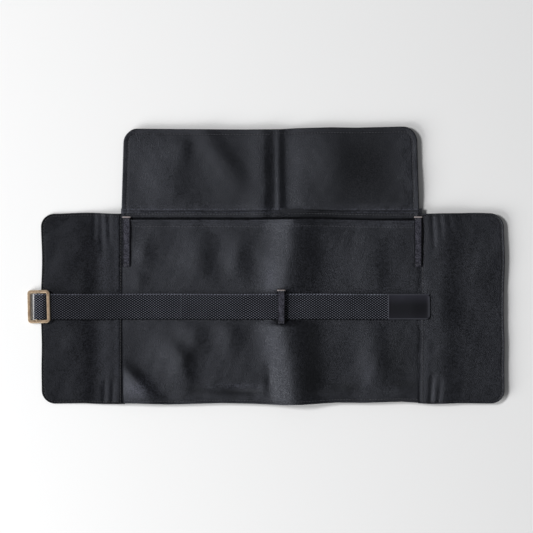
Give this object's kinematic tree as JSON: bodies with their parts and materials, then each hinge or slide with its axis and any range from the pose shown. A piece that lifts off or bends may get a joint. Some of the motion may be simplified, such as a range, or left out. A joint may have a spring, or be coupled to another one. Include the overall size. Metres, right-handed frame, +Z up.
{
  "type": "art supply roll",
  "caption": "Fabric art supply roll lying open, outside up, with folding wings and top flap, sewn brush slots underneath and a webbing strap with a slide buckle.",
  "frame": {"origin": "middle of the roll's footprint, at the surface it lies on", "axes": "+X along the strap towards its tip, +Y towards the top flap, +Z up, out of the roll's outside face"},
  "size_m": [0.4774, 0.276, 0.0142],
  "materials": {
    "outer_cloth": "satin",
    "lining_cloth": "matte",
    "webbing": "matte",
    "tape": "satin",
    "tip_leather": "satin",
    "buckle_metal": "antique"
  },
  "bodies": {
    "spine": {"spine_lining": "lining_cloth", "spine_back_panel": "outer_cloth", "spine_outer_pocket": "outer_cloth", "strap_keeper": "tape"},
    "left_half": {"left_slot_pocket": "lining_cloth", "left_lining": "lining_cloth", "left_back_panel": "outer_cloth", "left_gusset": "outer_cloth", "left_outer_pocket": "outer_cloth", "left_side_loop": "tape"},
    "right_half": {"right_slot_pocket": "lining_cloth", "right_lining": "lining_cloth", "right_back_panel": "outer_cloth", "right_gusset": "outer_cloth", "right_outer_pocket": "outer_cloth", "right_side_loop": "tape"},
    "left_wing": {"left_wing_lining": "lining_cloth", "left_wing_shell": "outer_cloth"},
    "right_wing": {"right_wing_lining": "lining_cloth", "right_wing_shell": "outer_cloth"},
    "flap_left": {"flap_lining_left": "lining_cloth", "flap_shell_left": "outer_cloth"},
    "flap_mid": {"flap_lining_mid": "lining_cloth", "flap_shell_mid": "outer_cloth"},
    "flap_right": {"flap_lining_right": "lining_cloth", "flap_shell_right": "outer_cloth"},
    "strap_mid": {"strap_mid": "webbing"},
    "strap_left": {"strap_left": "webbing"},
    "strap_right": {"strap_right": "webbing"},
    "strap_tail": {"strap_tail": "webbing"},
    "strap_tip": {"strap_tip_webbing": "webbing", "strap_tip_patch": "tip_leather"},
    "buckle": {"slide_buckle": "buckle_metal"}
  },
  "joints": [
    {"name": "left_fold", "type": "hinge", "parent": "spine", "child": "left_half", "pos_m": [0.00594, -0.04269, 0], "axis": [0, -1, 0], "range_deg": [0, 90]},
    {"name": "right_fold", "type": "hinge", "parent": "spine", "child": "right_half", "pos_m": [0.02094, -0.04269, 0], "axis": [0, 1, 0], "range_deg": [0, 90]},
    {"name": "left_wing_fold", "type": "hinge", "parent": "left_half", "child": "left_wing", "pos_m": [-0.15806, -0.04269, 0.00135], "axis": [0, -1, 0], "range_deg": [0, 175.44]},
    {"name": "right_wing_fold", "type": "hinge", "parent": "right_half", "child": "right_wing", "pos_m": [0.17144, -0.04269, 0.00135], "axis": [0, 1, 0], "range_deg": [0, 179.65]},
    {"name": "flap_fold", "type": "hinge", "parent": "spine", "child": "flap_mid", "pos_m": [0.01344, 0.05781, 0.0025], "axis": [-1, 0, 0], "range_deg": [0, 179.57]},
    {"name": "flap_left_fold", "type": "hinge", "parent": "left_half", "child": "flap_left", "pos_m": [0.01344, 0.05781, 0.0025], "axis": [-1, 0, 0], "range_deg": [0, 179.57]},
    {"name": "flap_right_fold", "type": "hinge", "parent": "right_half", "child": "flap_right", "pos_m": [0.01344, 0.05781, 0.0025], "axis": [-1, 0, 0], "range_deg": [0, 179.57]},
    {"name": "strap_slide", "type": "slide", "parent": "spine", "child": "strap_mid", "axis": [1, 0, 0], "range_m": [-0.098, 0]},
    {"name": "strap_left_fold", "type": "hinge", "parent": "strap_mid", "child": "strap_left", "pos_m": [0.00594, -0.04269, 0], "axis": [0, -1, 0], "range_deg": [0, 90]},
    {"name": "strap_right_fold", "type": "hinge", "parent": "strap_mid", "child": "strap_right", "pos_m": [0.02094, -0.04269, 0], "axis": [0, 1, 0], "range_deg": [0, 90]},
    {"name": "tail_lift", "type": "hinge", "parent": "strap_left", "child": "strap_tail", "pos_m": [-0.14506, -0.04084, 0.0103], "axis": [0, -1, 0], "range_deg": [-150, 0]},
    {"name": "tip_lift", "type": "hinge", "parent": "strap_right", "child": "strap_tip", "pos_m": [0.12064, -0.04084, 0.0103], "axis": [0, 1, 0], "range_deg": [-90, 0]},
    {"name": "buckle_turn", "type": "hinge", "parent": "strap_tail", "child": "buckle", "pos_m": [-0.22938, -0.04084, 0.00468], "axis": [0, 1, 0], "range_deg": [-90, 0]}
  ],
  "couplings": [
    {"joint": "flap_left_fold", "follows": "flap_fold", "ratio": 1},
    {"joint": "flap_right_fold", "follows": "flap_fold", "ratio": 1},
    {"joint": "strap_left_fold", "follows": "left_fold", "ratio": 1},
    {"joint": "strap_right_fold", "follows": "right_fold", "ratio": 1}
  ]
}
